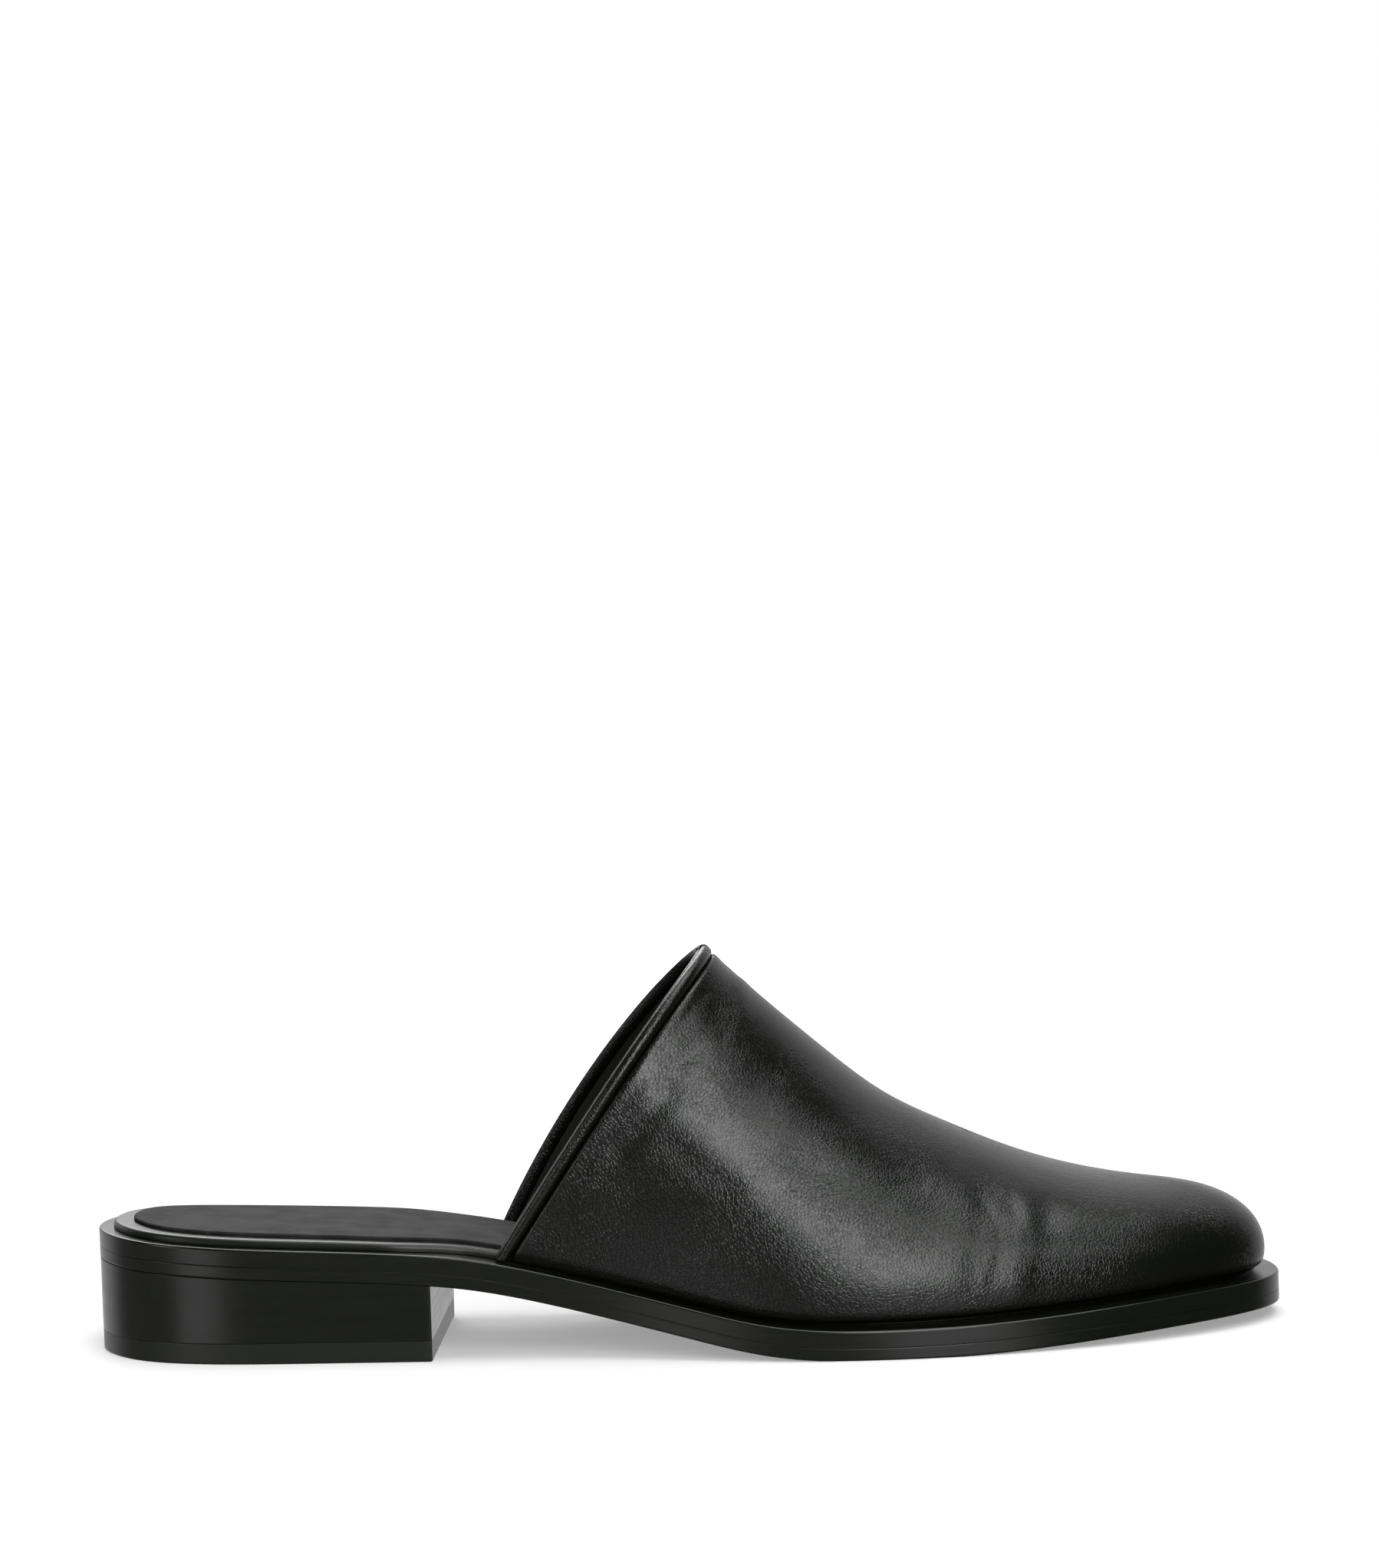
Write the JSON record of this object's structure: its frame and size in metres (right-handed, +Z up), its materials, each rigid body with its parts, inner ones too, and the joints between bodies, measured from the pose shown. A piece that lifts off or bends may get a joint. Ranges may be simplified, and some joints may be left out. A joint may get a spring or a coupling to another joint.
{
  "type": "mule shoe",
  "caption": "Right mule shoe: a backless smooth leather vamp with a rolled topline on a thin leather sole with a low stacked heel and a soft square toe.",
  "frame": {"origin": "on the floor, at the middle of the shoe's length and of its width", "axes": "+X from heel to toe, +Y to the shoe's inner side, +Z up"},
  "size_m": [0.268, 0.0885, 0.088],
  "materials": {
    "vamp_leather": "smooth black calf with a fine grain and a satin shine",
    "sole_edge": "black painted and waxed leather edge",
    "stacked_heel": "black burnished stacked leather, satin",
    "heel_rubber": "black rubber, slightly matt",
    "footbed_wrap": "soft black leather folded round the insole's edge",
    "sock_leather": "dark grey nappa, matt"
  },
  "bodies": {
    "root": {"heel_lift": "heel_rubber", "heel_block": "stacked_heel", "outsole": "sole_edge", "midsole": "sole_edge", "insole": "footbed_wrap", "sock_lining": "sock_leather", "upper": "vamp_leather", "topline_binding": "vamp_leather"}
  },
  "joints": []
}
